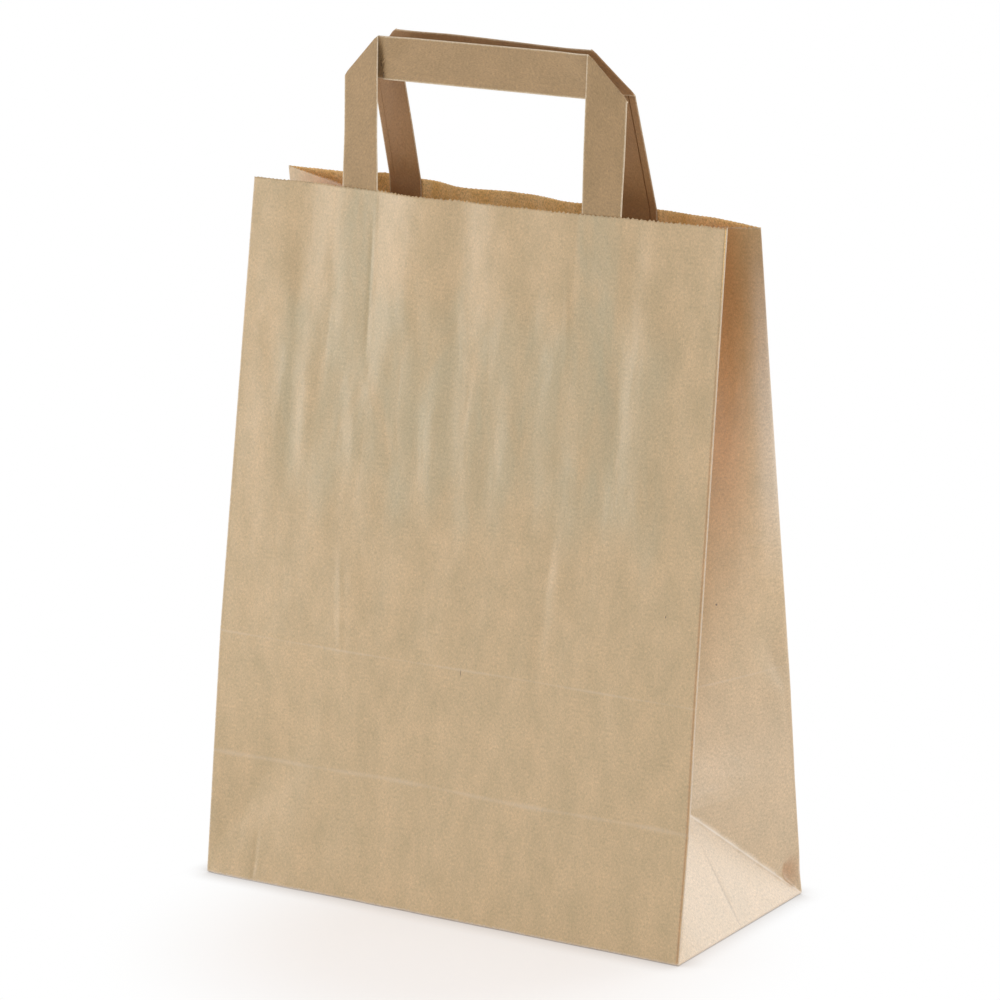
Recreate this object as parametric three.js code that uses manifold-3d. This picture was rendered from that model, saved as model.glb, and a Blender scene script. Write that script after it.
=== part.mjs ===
// Paper carrier bag: one folded and glued kraft sheet with gusseted sides and a block bottom, two
// flat strip handles with 45-degree folds, and the patches that hold their legs inside the panels.
// Millimetres, +Z up. X runs across the front panel, the front faces -Y, and the origin is the
// middle of the base.

import * as THREE from 'three';
import { mergeVertices } from 'three/addons/utils/BufferGeometryUtils.js';
import Module from 'manifold-3d';

// Sheet of the bag
const bagWidth = 260;
const bagDepth = 120;
const bagHeight = 335; // base fold to rim, along the paper
const paper = 0.15;
const seamPlace = 78; // outer free edge of the back panel's lap seam, from the middle
const seamOverlap = 20;
const flapOverlap = 24; // of the two long base flaps at the middle of the base

// How the bag stands: base open and square, mouth nearly closed
const mouthGap = 29; // between the front and back rims at their corners
const mouthTurn = 2.2; // degrees that the mouth has turned over the base
const mouthShift = -2.5; // of the mouth's middle from the base's middle, along Y
const creaseLean = 8; // degrees that the front panel leans below its cross crease
const creaseDent = 4; // how far the cross crease is pressed in at mid width
const frontBow = 6; // how far the front rim bows out between the handle legs
const backBow = 5; // the same at the back rim
const gussetHug = 0.1; // share of the mouth gap by which a gusset half bends towards its panel

// Handles
const stripWidth = 20;
const stripThickness = 0.5; // folded plies
const handleWidth = 151; // outside of one leg to outside of the other, at the rim
const frontHandleRise = 72.5; // rim to top of the bar
const backHandleRise = 75.5;
const frontHandleLean = 2.6; // degrees that a handle leans in over the mouth
const backHandleLean = 15.5;
const frontLegSplay = 1.8; // how far a leg of the front handle has spread at the top of the bar
const backHandleShift = -2; // of the back handle from the middle of its panel
const legLength = 88; // glued length below the rim
const foldGap = 0.3; // between the plies of a folded corner
const glueGap = 0.2; // between sheets that are glued together

// Patches
const patchWidth = 216;
const patchHeight = 98;
const patchDrop = 50; // rim to the patch's upper edge
const patchRamp = 5; // length over which a patch climbs onto a leg

// Mesh steps
const panelSteps = 16;
const halfGussetSteps = 4;
const upperSteps = 11;
const foldBand = 1.5; // narrow band kept along each pressed fold

const halfWidth = (bagWidth - paper) / 2;
const halfDepth = (bagDepth - paper) / 2;
const crease = bagDepth / 2; // the base folds flat against the front panel up to this height
const radians = THREE.MathUtils.degToRad;
const FRONT = -1; // each face is named by the sign of its own side of Y
const BACK = 1;

const lerp = THREE.MathUtils.lerp;
const steps = (count, from, to) => Array.from({ length: count + 1 }, (_, i) => lerp(from, to, i / count));
const vector = (x, y, z) => new THREE.Vector3(x, y, z);

// Corner lines of the two panels

function rimY(face, side) {
  return mouthShift + face * mouthGap / 2 - side * halfWidth * Math.tan(radians(mouthTurn));
}

function leaning(from, lean, length) {
  return vector(from.x, from.y + length * Math.sin(lean), from.z + length * Math.cos(lean));
}

// A point of a panel's pressed side edge, at a height along the paper
function edgePoint(face, side, height) {
  const base = vector(side * halfWidth, face * halfDepth, 0);
  if (face === BACK) {
    return leaning(base, Math.asin((rimY(BACK, side) - halfDepth) / bagHeight), height);
  }
  const lower = radians(creaseLean);
  if (height <= crease) return leaning(base, lower, height);
  const kink = leaning(base, lower, crease);
  const upper = Math.asin((rimY(FRONT, side) - kink.y) / (bagHeight - crease));
  return leaning(kink, upper, height - crease);
}

// Outward bow of a panel: none at its side edges and base, most at the rim
function panelBow(face, x, height) {
  const across = Math.cos(Math.PI / 2 * x / halfWidth);
  const rise = THREE.MathUtils.clamp((height - crease) / (bagHeight - crease), 0, 1);
  const bow = (face === FRONT ? frontBow : backBow) * rise * rise;
  const nearCrease = Math.max(0, 1 - Math.abs(height / crease - 1));
  const dent = face === FRONT ? creaseDent * nearCrease : 0;
  return across * (bow - dent);
}

// A point of a panel's middle surface. Above the rim it carries on along the handle's lean.
function panelPoint(face, x, height) {
  const lean = radians(face === FRONT ? frontHandleLean : backHandleLean);
  const onPanel = Math.min(height, bagHeight);
  const across = (x / halfWidth + 1) / 2;
  const point = edgePoint(face, -1, onPanel).lerp(edgePoint(face, 1, onPanel), across);
  point.y += face * panelBow(face, x, onPanel);
  return leaning(point, -face * lean, Math.max(0, height - bagHeight));
}

// A point at a depth inside a panel, measured square to it from its middle surface
function insidePanel(face, x, height, depth) {
  const reach = 0.5;
  const alongX = panelPoint(face, x + reach, height).sub(panelPoint(face, x - reach, height));
  const alongZ = panelPoint(face, x, height + reach).sub(panelPoint(face, x, height - reach));
  const inward = alongZ.cross(alongX).normalize().multiplyScalar(-face);
  return panelPoint(face, x, height).addScaledVector(inward, depth);
}

// Side gussets

// The gusset's triangle on the base leans in as the panels lean, so that no paper stretches
function gussetApex(side) {
  const backLean = Math.asin((halfDepth - rimY(BACK, side)) / bagHeight);
  const lean = (radians(creaseLean) + backLean) / 2;
  const tilt = Math.acos((1 - Math.sin(lean)) / Math.cos(lean));
  return vector(side * (halfWidth - crease * Math.sin(tilt)), 0, crease * Math.cos(tilt));
}

// A point of the gusset's centre fold: over the leaning triangle, then straight to the rim
function centreFold(side, height) {
  const apex = gussetApex(side);
  if (height <= crease) return vector(side * halfWidth, 0, 0).lerp(apex, height / crease);
  const inward = Math.sqrt(halfDepth ** 2 - (mouthGap / 2) ** 2);
  const x = side * (halfWidth - inward);
  const y = (rimY(FRONT, side) + rimY(BACK, side)) / 2;
  const length = bagHeight - crease;
  const z = apex.z + Math.sqrt(length ** 2 - (x - apex.x) ** 2 - (y - apex.y) ** 2);
  return apex.lerp(vector(x, y, z), (height - crease) / length);
}

// A point of half a gusset, at a share of its width from the panel's edge (0) to the centre fold (1)
function gussetPoint(face, side, share, height) {
  const climb = height / crease;
  if (climb <= 1 && share >= climb) {
    const point = centreFold(side, height);
    point.y = face * halfDepth * (1 - share);
    return point;
  }
  if (climb <= 1) {
    const corner = edgePoint(face, side, 0).multiplyScalar(1 - climb);
    const kink = edgePoint(face, side, crease).multiplyScalar(climb - share);
    return corner.add(kink).addScaledVector(gussetApex(side), share);
  }
  const point = edgePoint(face, side, height).lerp(centreFold(side, height), share);
  const rise = (height - crease) / (bagHeight - crease);
  point.y += face * gussetHug * mouthGap / 2 * rise * rise * Math.sin(Math.PI * share);
  return point;
}

// Solids from sheets

// Vertex normals of a grid of points, rows up the sheet and columns across it
function gridNormals(grid, loop) {
  const rows = grid.length;
  const columns = grid[0].length;
  const normals = grid.map((row) => row.map(() => vector(0, 0, 0)));
  for (let r = 0; r + 1 < rows; r++) {
    for (let c = 0; c + 1 < columns + (loop ? 1 : 0); c++) {
      const next = (c + 1) % columns;
      const across = grid[r][next].clone().add(grid[r + 1][next]).sub(grid[r][c]).sub(grid[r + 1][c]);
      const up = grid[r + 1][c].clone().add(grid[r + 1][next]).sub(grid[r][c]).sub(grid[r][next]);
      const normal = across.cross(up).normalize();
      for (const [row, column] of [[r, c], [r, next], [r + 1, c], [r + 1, next]]) {
        normals[row][column].add(normal);
      }
    }
  }
  return normals.map((row) => row.map((normal) => normal.normalize()));
}

// A closed solid of a sheet. plies gives each column's thickness in sheets, laid on the outer side;
// a slanted column has its quads cut along the other diagonal; a standing sheet has a level foot.
function sheetSolid(grid, thickness, { loop = false, plies = [], slanted = [], standing = false } = {}) {
  const rows = grid.length;
  const columns = grid[0].length;
  const normals = gridNormals(grid, loop);
  if (standing) normals[0].forEach((normal) => normal.setZ(0).normalize());
  const positions = [];
  for (const side of [1, -1]) {
    for (let r = 0; r < rows; r++) {
      for (let c = 0; c < columns; c++) {
        const extra = side > 0 ? (plies[c] ?? 1) - 1 : 0;
        const point = grid[r][c].clone().addScaledVector(normals[r][c], thickness * (side / 2 + extra));
        positions.push(point.x, point.y, point.z);
      }
    }
  }
  const index = [];
  const outer = (r, c) => r * columns + c % columns;
  const inner = (r, c) => rows * columns + outer(r, c);
  const quad = (a, b, c, d) => index.push(a, b, c, a, c, d);
  const top = rows - 1;
  const end = columns - 1;
  for (let c = 0; c < (loop ? columns : end); c++) {
    for (let r = 0; r < top; r++) {
      const corners = [[r, c], [r, c + 1], [r + 1, c + 1], [r + 1, c]];
      if (slanted[c]) corners.push(corners.shift());
      quad(...corners.map(([row, column]) => outer(row, column)));
      const [first, ...others] = corners.map(([row, column]) => inner(row, column));
      quad(first, ...others.reverse());
    }
    quad(outer(0, c), inner(0, c), inner(0, c + 1), outer(0, c + 1));
    quad(outer(top, c), outer(top, c + 1), inner(top, c + 1), inner(top, c));
  }
  for (let r = 0; !loop && r < top; r++) {
    quad(outer(r, 0), outer(r + 1, 0), inner(r + 1, 0), inner(r, 0));
    quad(outer(r, end), inner(r, end), inner(r + 1, end), outer(r + 1, end));
  }
  const geometry = new THREE.BufferGeometry();
  geometry.setAttribute('position', new THREE.Float32BufferAttribute(positions, 3));
  geometry.setIndex(index);
  return geometry;
}

// A flat ply of the base, from its outline and its place in the stack
function basePly(outline, level) {
  const shape = new THREE.Shape(outline.map(([x, y]) => new THREE.Vector2(x, y)));
  const geometry = new THREE.ExtrudeGeometry(shape, { depth: paper, bevelEnabled: false });
  return geometry.translate(0, 0, level * paper);
}

const wasm = await Module();
wasm.setup();

function solid(geometry) {
  const bare = geometry.clone();
  bare.deleteAttribute('normal');
  bare.deleteAttribute('uv');
  const merged = mergeVertices(bare, paper / 1000);
  return new wasm.Manifold(new wasm.Mesh({
    numProp: 3,
    vertProperties: new Float32Array(merged.attributes.position.array),
    triVerts: new Uint32Array(merged.index.array),
  }));
}

function joined(geometries) {
  const mesh = geometries.map(solid).reduce((sum, piece) => sum.add(piece)).getMesh();
  const geometry = new THREE.BufferGeometry();
  geometry.setAttribute('position', new THREE.Float32BufferAttribute(mesh.vertProperties, 3));
  geometry.setIndex(Array.from(mesh.triVerts));
  return geometry;
}

// Bag body

// Shares of half a gusset at which its columns stand. The rows below the crease use the same shares,
// so that the 45-degree folds run through the corners of the grid.
const bandShare = foldBand / crease;
const halfShares = [
  0,
  bandShare,
  ...steps(halfGussetSteps, 0, 1).slice(1, -1),
  1 - bandShare,
  1,
];

function panelColumns(face) {
  const reach = halfWidth - foldBand;
  const places = [-halfWidth, ...steps(panelSteps, -reach, reach), halfWidth];
  const columns = places.map((x) => ({ x, plies: 1 }));
  if (face === BACK) {
    const inSeam = ({ x }) => x <= seamPlace + foldBand && x >= seamPlace - seamOverlap;
    const seam = [
      { x: seamPlace + paper, plies: 1 },
      { x: seamPlace, plies: 2 },
      { x: seamPlace - seamOverlap / 2, plies: 2 },
      { x: seamPlace - seamOverlap, plies: 1 },
    ];
    columns.splice(0, columns.length, ...columns.filter((column) => !inSeam(column)), ...seam);
    columns.sort((a, b) => b.x - a.x);
  }
  return columns.map(({ x, plies }) => ({ plies, at: (height) => panelPoint(face, x, height) }));
}

function gussetColumns(side, firstFace) {
  const into = halfShares.slice(1).map((share) => ({ face: firstFace, share, slanted: share === 1 }));
  const out = halfShares.slice(1, -1).reverse();
  const outward = out.map((share) => ({ face: -firstFace, share, slanted: true }));
  return [...into, ...outward].map(({ face, share, slanted }) => ({
    plies: 1,
    slanted,
    at: (height) => gussetPoint(face, side, share, height),
  }));
}

function bagBody() {
  const columns = [
    ...panelColumns(FRONT),
    ...gussetColumns(1, FRONT),
    ...panelColumns(BACK),
    ...gussetColumns(-1, BACK),
  ];
  const heights = [
    ...halfShares.map((share) => share * crease),
    crease + foldBand,
    ...steps(upperSteps, crease, bagHeight).slice(1),
  ];
  const grid = heights.map((height) => columns.map((column) => column.at(height)));
  const walls = sheetSolid(grid, paper, {
    loop: true,
    plies: columns.map((column) => column.plies),
    slanted: columns.map((column) => column.slanted),
    standing: true,
  });
  return joined([walls, ...basePlies()]);
}

// The block bottom: the front flap lies outermost, then the back flap, then the gussets' ends, which
// were folded in first. A flap's ends are 45-degree folds that tuck under it over the gusset's end.
function basePlies() {
  const reach = crease + flapOverlap / 2;
  const inset = (level) => 0.75 * level * paper;
  const flap = (face, level) => {
    const x = halfWidth - inset(level);
    const y = face * halfDepth;
    const far = y - face * reach;
    return basePly([[-x, y], [x, y], [x - reach, far], [reach - x, far]], level);
  };
  const tuck = (side) => {
    const x = halfWidth - inset(1);
    const foot = -halfDepth;
    return basePly([[side * x, foot], [side * (x - reach), foot], [side * (x - reach), foot + reach]], 1);
  };
  const gussetEnd = (side) => {
    const x = side * (halfWidth - inset(2));
    const far = x - side * reach;
    return basePly([[x, -halfDepth], [x, halfDepth], [far, halfDepth], [far, -halfDepth]], 2);
  };
  return [flap(FRONT, 0), flap(BACK, 1), tuck(1), tuck(-1), gussetEnd(1), gussetEnd(-1)];
}

// Handles

const legDepth = paper / 2 + glueGap + stripThickness / 2; // of a leg's middle inside the panel
const barDepth = legDepth + stripThickness + foldGap; // the bar folds back behind its legs
const stripShares = steps(2, 0, 1);
const handleShift = (face) => (face === BACK ? backHandleShift : 0);

// A row across a leg, from its outer edge to its inner one. slope tips it up to the 45-degree fold.
function legRow(side, low, slope) {
  return stripShares.map((share) => {
    const across = share * stripWidth;
    return { x: side * (handleWidth / 2 - across), rise: low + slope * across, depth: legDepth };
  });
}

// A row across the bar, from its lower edge to its upper one, slanted at both ends to meet the folds
function barRow(along, low) {
  return stripShares.map((share) => {
    const across = share * stripWidth;
    const x = lerp(-1, 1, along) * (handleWidth / 2 - across);
    return { x, rise: low + across, depth: barDepth };
  });
}

// The turn of the paper at a folded corner, just outside the fold line
function foldRow(side, low) {
  const turn = (barDepth - legDepth) / 2;
  return legRow(side, low, 1).map(({ x, rise }) => ({
    x: x + side * turn * Math.SQRT1_2,
    rise: rise + turn * Math.SQRT1_2,
    depth: legDepth + turn,
  }));
}

// One strip: up a leg, over the fold, along the bar, and down the other leg
function handle(face) {
  const handleRise = face === FRONT ? frontHandleRise : backHandleRise;
  const splay = face === FRONT ? frontLegSplay / (handleWidth / 2) : 0;
  const foldLow = handleRise - stripWidth;
  const leg = (side) => [
    ...steps(4, -legLength, 0).map((low) => legRow(side, low, 0)),
    ...steps(4, 0, 1).slice(1).map((share) => legRow(side, share * foldLow, share)),
  ];
  const rows = [
    ...leg(-1),
    foldRow(-1, foldLow),
    ...steps(10, 0, 1).map((along) => barRow(along, foldLow)),
    foldRow(1, foldLow),
    ...leg(1).reverse(),
  ];
  const grid = rows.map((row) => row.map(({ x, rise, depth }) => {
    const spread = x * (1 + splay * Math.max(0, rise) / handleRise);
    return insidePanel(face, spread + handleShift(face), bagHeight + rise, depth);
  }));
  if (face === BACK) grid.forEach((row) => row.reverse());
  return sheetSolid(grid, stripThickness);
}

// Patches

// Share of the climb from the panel onto a leg, at a place on the patch
function overLeg(x, drop) {
  const fromLegMiddle = Math.abs(Math.abs(x) - (handleWidth - stripWidth) / 2);
  const beside = 1 - (fromLegMiddle - stripWidth / 2 - glueGap) / patchRamp;
  const below = 1 - (drop - legLength - glueGap) / patchRamp;
  return THREE.MathUtils.clamp(Math.min(beside, below), 0, 1);
}

function patch(face) {
  const legMiddle = (handleWidth - stripWidth) / 2;
  const flank = stripWidth / 2 + glueGap;
  const nearLeg = [-flank - patchRamp, -flank, 0, flank, flank + patchRamp];
  const half = [0, legMiddle / 4, ...nearLeg.map((offset) => legMiddle + offset), patchWidth / 2];
  const places = [...half.slice(1).reverse().map((x) => -x), ...half];
  const legEnd = legLength + glueGap;
  const drops = [patchDrop + patchHeight, legEnd + patchRamp, legEnd, patchDrop];
  const low = paper / 2 + glueGap + paper / 2;
  const high = low + stripThickness + glueGap;
  const grid = drops.map((drop) => places.map((x) => (
    insidePanel(face, x + handleShift(face), bagHeight - drop, lerp(low, high, overLeg(x, drop)))
  )));
  if (face === BACK) grid.forEach((row) => row.reverse());
  return sheetSolid(grid, paper);
}

// Assembly

const kraft = { roughness: 0.85, metalness: 0 };
const pieces = [
  ['bag_body', bagBody(), 0xcbb493],
  ['front_handle', handle(FRONT), 0xb89c78],
  ['back_handle', handle(BACK), 0xb89c78],
  ['front_handle_patch', patch(FRONT), 0xc8a577],
  ['back_handle_patch', patch(BACK), 0xc8a577],
];

const bag = new THREE.Group();
for (const [name, geometry, color] of pieces) {
  const mesh = new THREE.Mesh(geometry, new THREE.MeshStandardMaterial({ color, ...kraft }));
  mesh.name = name;
  bag.add(mesh);
}

export default bag;
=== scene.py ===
import math

import bpy
import numpy as np
from mathutils import Matrix


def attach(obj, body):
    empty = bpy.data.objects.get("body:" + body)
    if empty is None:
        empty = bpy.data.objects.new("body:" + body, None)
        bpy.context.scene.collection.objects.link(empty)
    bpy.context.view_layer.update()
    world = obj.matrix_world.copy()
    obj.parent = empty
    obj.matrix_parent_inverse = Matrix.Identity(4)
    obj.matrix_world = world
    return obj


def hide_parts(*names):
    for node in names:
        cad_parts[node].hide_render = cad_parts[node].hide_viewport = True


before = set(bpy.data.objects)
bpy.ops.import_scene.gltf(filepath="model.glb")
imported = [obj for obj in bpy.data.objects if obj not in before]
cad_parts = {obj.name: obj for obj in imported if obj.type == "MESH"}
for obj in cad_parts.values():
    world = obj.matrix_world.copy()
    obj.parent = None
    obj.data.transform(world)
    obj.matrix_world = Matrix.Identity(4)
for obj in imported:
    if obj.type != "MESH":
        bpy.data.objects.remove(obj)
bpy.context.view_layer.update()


# Bag body: one sheet of brown kraft paper, folded and glued into a tube with a lap seam down its
# back, gussets pressed inwards at both sides, and its lower end folded in to a block bottom.
# All lengths are in millimetres. A place on the sheet is u, round the tube, and h, up from the base.

WIDTH = 260.0
DEPTH = 120.0
HEIGHT = 335.0
PAPER = 0.15
HALF_WIDTH = (WIDTH - PAPER) / 2
HALF_DEPTH = (DEPTH - PAPER) / 2
GUSSET = DEPTH / 2  # half a gusset's width, and the height of the cross crease
MOUTH_GAP = 29.0
MOUTH_TURN = math.radians(2.2)
MOUTH_SHIFT = -2.5
CREASE_LEAN = math.radians(8)
FRONT = -1
BACK = 1
LEFT = -1
RIGHT = 1


def stack(x, y, z):
    return np.stack(np.broadcast_arrays(x, y, z), -1).astype(float)


def ramp(value, start, end):
    """Smooth step from 0 at start to 1 at end."""
    t = np.clip((value - start) / (end - start), 0, 1)
    return t * t * (3 - 2 * t)


def bump(value, middle, width):
    return np.exp(-((value - middle) / width) ** 2)


def rim_y(face, side):
    return MOUTH_SHIFT + face * MOUTH_GAP / 2 - side * HALF_WIDTH * math.tan(MOUTH_TURN)


FOLD_MARK = 118.5  # height of the faint mark left where the flattened base was folded up on the panels
# How far each side edge stands out at the cross crease and at the fold mark from its straight line
EDGE_BOW = {
    (FRONT, LEFT): (1.3, 2.7), (FRONT, RIGHT): (0.0, 0.9),
    (BACK, LEFT): (0.4, 1.6), (BACK, RIGHT): (0.0, 1.8),
}
BACK_PULL = 1.3  # how far the back panel's upper right corner is pulled outwards
DRIFT_PLACES = (-130, -40, 0, 40, 105, 118, 130)
DRIFT_LEVELS = (0.4, 0.5, -1.0, -0.2, -0.1, -0.9, -1.9)


def rim_drift(x, h):
    """The back panel's cut upper edge is not quite level."""
    return np.interp(x, DRIFT_PLACES, DRIFT_LEVELS) * (h / HEIGHT) ** 2


def edge_point(face, side, h):
    """A panel's pressed side edge. The front one kinks at the cross crease, and all at the fold mark."""
    h = np.asarray(h, float)
    foot = face * HALF_DEPTH
    bow = face * np.interp(h, (0, GUSSET, FOLD_MARK, HEIGHT), (0, *EDGE_BOW[face, side], 0))
    if face == BACK:
        lean = math.asin((rim_y(BACK, side) - foot) / HEIGHT)
        x = side * HALF_WIDTH + BACK_PULL * h / HEIGHT * (side == RIGHT)
        z = h * math.cos(lean) + rim_drift(side * HALF_WIDTH, h)
        return stack(x, foot + h * math.sin(lean) + bow, z)
    kink = foot + GUSSET * math.sin(CREASE_LEAN)
    upper = math.asin((rim_y(FRONT, side) - kink) / (HEIGHT - GUSSET))
    below = np.minimum(h, GUSSET)
    above = np.maximum(h - GUSSET, 0)
    y = foot + below * math.sin(CREASE_LEAN) + above * math.sin(upper) + bow
    return stack(side * HALF_WIDTH, y, below * math.cos(CREASE_LEAN) + above * math.cos(upper))


# The legs of a handle show through its panel as two faint raised fields
LEG_MIDDLE = {FRONT: 66.8, BACK: 65.3}
LEG_HALF = 10.2
LEG_LENGTH = 88.0
HANDLE_SHIFT = {FRONT: -1.6, BACK: -2.0}
IMPRINT_HEIGHT = 0.25


def leg_imprint(face, x, h):
    off = np.abs(np.abs(x - HANDLE_SHIFT[face]) - LEG_MIDDLE[face])
    foot = HEIGHT - LEG_LENGTH
    return (1 - ramp(off, LEG_HALF - 0.8, LEG_HALF + 2.2)) * ramp(h, foot - 5, foot + 3)


def line_crease(x, h, start, end, width):
    """1 on a short crease line between two places, falling off beside it and towards its ends."""
    (x0, h0), (x1, h1) = start, end
    share = (h - h0) / (h1 - h0)
    beside = x - (x0 + (x1 - x0) * share)
    along = ramp(share, -0.1, 0.25) * (1 - ramp(share, 0.75, 1.1))
    return bump(beside, 0, width) * along


# Short sharp creases on the front panel: height or depth, lower end, upper end and width
FRONT_CREASES = [
    (-0.36, (-58.2, 256), (-59.4, 322), 1.2), (0.26, (51.7, 258), (49.8, 304), 1.5),
    (0.26, (-60.4, 114), (-64.8, 166), 1.8), (0.2, (-70.2, 60), (-69.8, 98), 2.2),
    (-0.28, (-103.4, 0), (-102.6, 25), 1.3), (-0.5, (44, 116), (50, 190), 3.5),
]
# Broad bellies of slack paper: height, place across and width, place up and length
FRONT_BELLIES = [
    (0.9, -60, 60, 130, 60), (-0.8, 60, 55, 150, 70), (0.7, 95, 28, 95, 40), (-0.5, 0, 35, 100, 30),
]
BACK_BELLIES = [(1.2, 40, 70, 120, 70), (-0.9, -60, 55, 165, 60)]


def slack(x, h, bellies):
    height = np.zeros(np.broadcast(x, h).shape)
    for rise, place, width, level, length in bellies:
        height = height + rise * bump(x, place, width) * bump(h, level, length)
    return height


# Soft upright wrinkles where the damp patch behind the panel has cockled it: place across the panel,
# width, height of the wave, and the two heights between which it runs
FRONT_WRINKLES = [
    (-114, 8, 0.8, 175, 300), (-99, 5, -0.89, 190, 318), (-89, 5, 0.89, 200, 312), (-82, 3, -0.41, 235, 316),
    (-50, 6, 1.08, 195, 318), (-38, 5, -0.49, 180, 270), (-28, 5, -0.89, 205, 300), (-18, 5, 0.8, 190, 290),
    (-9, 4, -0.8, 225, 300), (1, 6, 0.8, 165, 285), (14, 5, -0.68, 180, 250), (17, 5, 0.8, 262, 322),
    (24, 5, 0.8, 195, 262), (35, 5, -0.8, 185, 300), (44, 4, 0.49, 225, 290), (80, 5, -1.5, 205, 332),
    (73, 5, -0.68, 185, 262), (94, 9, 1.9, 185, 330), (112, 5, -0.59, 195, 290), (62, 5, 0.59, 190, 250),
    (-66, 4, 0.59, 190, 240), (-73, 4, -0.59, 175, 245), (-58, 4, 0.49, 185, 232), (-106, 4, 0.49, 200, 280),
    (45, 8, -0.68, 120, 190), (55, 8, 0.68, 120, 185), (-62, 7, 0.49, 60, 170),
]
BACK_WRINKLES = [
    (-110, 8, 0.8, 180, 310), (-92, 5, -0.8, 195, 318), (-46, 6, 0.89, 185, 300), (-30, 5, -0.8, 190, 312),
    (-12, 6, 0.8, 165, 295), (8, 5, -0.8, 185, 310), (24, 6, 0.89, 175, 295), (44, 5, -0.68, 190, 312),
    (88, 6, -0.8, 185, 318), (104, 7, 0.89, 180, 300), (-66, 4, 0.59, 190, 240), (60, 5, 0.59, 190, 245),
    (20, 9, 0.59, 70, 160), (-50, 9, -0.59, 80, 170),
]
WRINKLE_STRENGTH = 0.85
COCKLE_HEIGHT = 0.03


def wrinkles(x, h, waves):
    height = np.zeros(np.broadcast(x, h).shape)
    for place, width, rise, low, high in waves:
        drift = 1.6 * np.sin(h / 27 + place) + 0.9 * np.sin(h / 9 + 2 * place)
        drift = drift + 0.05 * (h - 250) * np.sin(place * 1.7)
        run = ramp(h, low - 15, low + 30) * (1 - ramp(h, high - 25, high + 15))
        run = run * (0.7 + 0.45 * np.sin(h / 13 + 3 * place))
        height = height + WRINKLE_STRENGTH * rise * bump(x + drift, place, width) * run
    return height


def cockle(x, h):
    """Slight unevenness of all the paper, longer upwards than across."""
    height = np.zeros(np.broadcast(x, h).shape)
    chance = np.random.default_rng(11)
    for _ in range(26):
        across, up = chance.uniform(24, 75), chance.uniform(40, 150)
        turn = chance.uniform(0, 2 * math.pi)
        sense = chance.choice((-1, 1))
        height = height + COCKLE_HEIGHT * np.sin(2 * math.pi * (x / across + sense * h / up) + turn)
    return height


def front_relief(x, h):
    """How far the front panel stands out from its flat plane."""
    rise = np.clip((h - GUSSET) / (HEIGHT - GUSSET), 0, 1)
    rim = 1.1 * ramp(x, -96, -70) + 4.9 * ramp(x, -60, -34)
    rim = rim - 1.4 * ramp(x, -30, 40) - 4.9 * ramp(x, 10, 125)
    across = np.cos(math.pi / 2 * np.clip(x / HALF_WIDTH, -1, 1))
    soft_rim = 1.4 * across
    out = rise ** 1.6 * (rim * ramp(rise, 0.45, 1) + soft_rim * (1 - ramp(rise, 0.45, 1)))
    tent = np.maximum(0, 1 - np.abs(h / GUSSET - 1))
    rim_wave = 0.3 * np.sin(x / 6.5 + 0.8) * bump(x, 15, 60) + 0.2 * np.sin(x / 4.7) * bump(x, -95, 25)
    out = out - 1.2 * bump(x, -94, 18) * ramp(rise, 0.6, 0.95)
    out = out + rim_wave * ramp(rise, 0.72, 1) - 2.4 * bump(x, -8, 14) * ramp(rise, 0.5, 0.9)
    out = out - 1.9 * tent * across * (1 + 0.3 * bump(x, -45, 60) - 0.3 * bump(x, 80, 60))
    out = out + slack(x, h, FRONT_BELLIES) * (1 - (x / HALF_WIDTH) ** 4)
    out = out + (wrinkles(x, h, FRONT_WRINKLES) + cockle(x, h)) * (1 - (x / HALF_WIDTH) ** 8)
    out = out + IMPRINT_HEIGHT * leg_imprint(FRONT, x, h)
    for amount, start, end, width in FRONT_CREASES:
        out = out + amount * line_crease(x, h, start, end, width)
    out = out - 0.25 * bump(h, FOLD_MARK, 1.5) * (0.6 + 0.4 * np.sin(x / 17))
    out = out + (0.3 * bump(h, 64, 3) - 0.35 * bump(h, 58.5, 2)) * ramp(x, 80, 112)
    # the press of the base has knocked the panel in beside its lower left corner, along a slanting line
    slant = np.clip((h - 8) * 0.66, 1, 40)
    from_edge = x + HALF_WIDTH
    past = (from_edge - slant) / 16
    valley = np.where(past < 0, from_edge / slant, 1) * np.exp(-0.5 * np.maximum(past, 0) ** 2)
    out = out - 2.3 * valley * ramp(h, 6, 40) * (1 - ramp(h, 50, 95))
    # and its lowest strip turns out again over the edge of the flap behind it
    return out + np.maximum(0, 1 - h / 6.5) * (0.15 + 0.6 * ramp(-x, 55, 95))


def free_back_relief(x, h):
    """How far the back panel stands out. Its free rim waves between the handle's glued legs."""
    rise = np.clip((h - GUSSET) / (HEIGHT - GUSSET), 0, 1)
    across = np.cos(math.pi / 2 * np.clip(x / HALF_WIDTH, -1, 1))
    wave = 5.2 * bump(x, -64, 20) - 4.6 * bump(x, -32, 13) + 4.2 * bump(x, 0, 15) - 5.4 * bump(x, 33, 17)
    wave = wave + 2.6 * bump(x, 73, 15)
    out = rise ** 2 * (3.6 * across + wave * ramp(rise, 0.6, 1))
    out = out + slack(x, h, BACK_BELLIES) * (1 - (x / HALF_WIDTH) ** 4)
    out = out + (wrinkles(x, h, BACK_WRINKLES) + cockle(x + 300, h)) * (1 - (x / HALF_WIDTH) ** 8)
    out = out + IMPRINT_HEIGHT * leg_imprint(BACK, x, h)
    return out - 0.5 * across * bump(h, GUSSET, 6) + 0.5 * (1 - ramp(h, 0, 7))


LEG_SLOPES = ((LEFT, -0.17), (RIGHT, -0.03))  # of the back handle's legs, across the panel


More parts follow.
